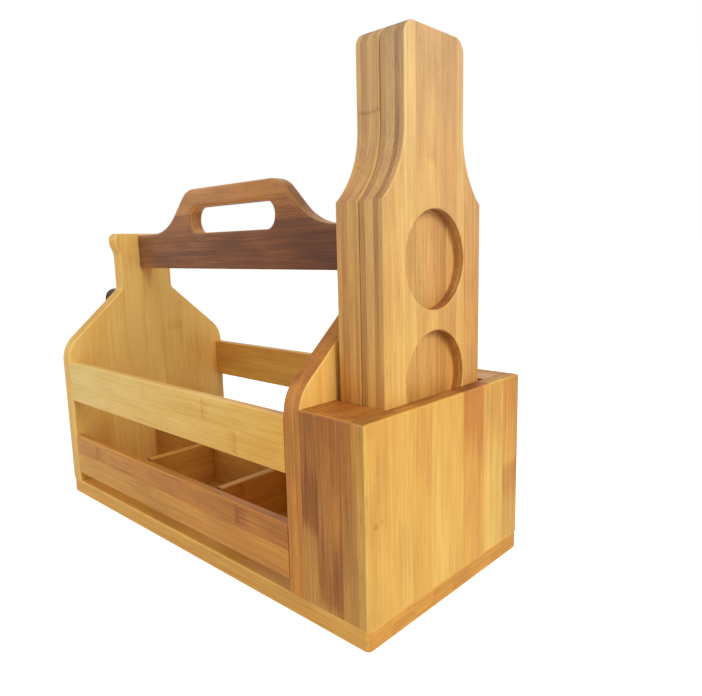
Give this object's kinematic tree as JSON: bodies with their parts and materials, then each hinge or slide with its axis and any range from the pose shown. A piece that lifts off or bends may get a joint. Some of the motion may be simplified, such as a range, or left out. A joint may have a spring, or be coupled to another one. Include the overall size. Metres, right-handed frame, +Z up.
{
  "type": "bottle caddy",
  "caption": "Open wooden bottle carrier with shaped end panels, slatted sides, a handle board with a hand hole, and an end holder for bottle-shaped tasting paddles.",
  "frame": {"origin": "middle of the base board's underside, on the surface that the caddy stands on", "axes": "+X along the long side towards the paddle holder, +Y towards the back long side, +Z up"},
  "size_m": [0.355, 0.148, 0.3076],
  "materials": {
    "bamboo": "satin lacquer",
    "slat_bamboo": "satin lacquer",
    "handle_bamboo": "satin lacquer",
    "paddle_bamboo": "satin lacquer",
    "dowel_bamboo": "plain",
    "screw_steel": "zinc plated",
    "opener_bronze": "antique bronze"
  },
  "bodies": {
    "caddy": {"base_board": "bamboo", "end_panel_left": "bamboo", "end_panel_right": "bamboo", "long_divider": "bamboo", "cross_divider_left": "bamboo", "cross_divider_right": "bamboo", "holder_face_board": "bamboo", "holder_side_front": "bamboo", "holder_side_back": "bamboo", "holder_top_plate": "bamboo", "upper_slat_front": "slat_bamboo", "lower_slat_front": "slat_bamboo", "upper_slat_back": "slat_bamboo", "lower_slat_back": "slat_bamboo", "handle_board": "handle_bamboo", "slat_dowels": "dowel_bamboo", "handle_dowels": "dowel_bamboo", "holder_dowels": "dowel_bamboo", "base_screws": "screw_steel", "bottle_opener": "opener_bronze", "opener_screws": "opener_bronze"},
    "outer_paddle": {"outer_paddle": "paddle_bamboo"},
    "inner_paddle": {"inner_paddle": "paddle_bamboo"}
  },
  "joints": [
    {"name": "outer_paddle_lift", "type": "slide", "parent": "caddy", "child": "outer_paddle", "axis": [0, 0, 1], "range_m": [0, 0.3]},
    {"name": "inner_paddle_lift", "type": "slide", "parent": "caddy", "child": "inner_paddle", "axis": [0, 0, 1], "range_m": [0, 0.3]}
  ]
}
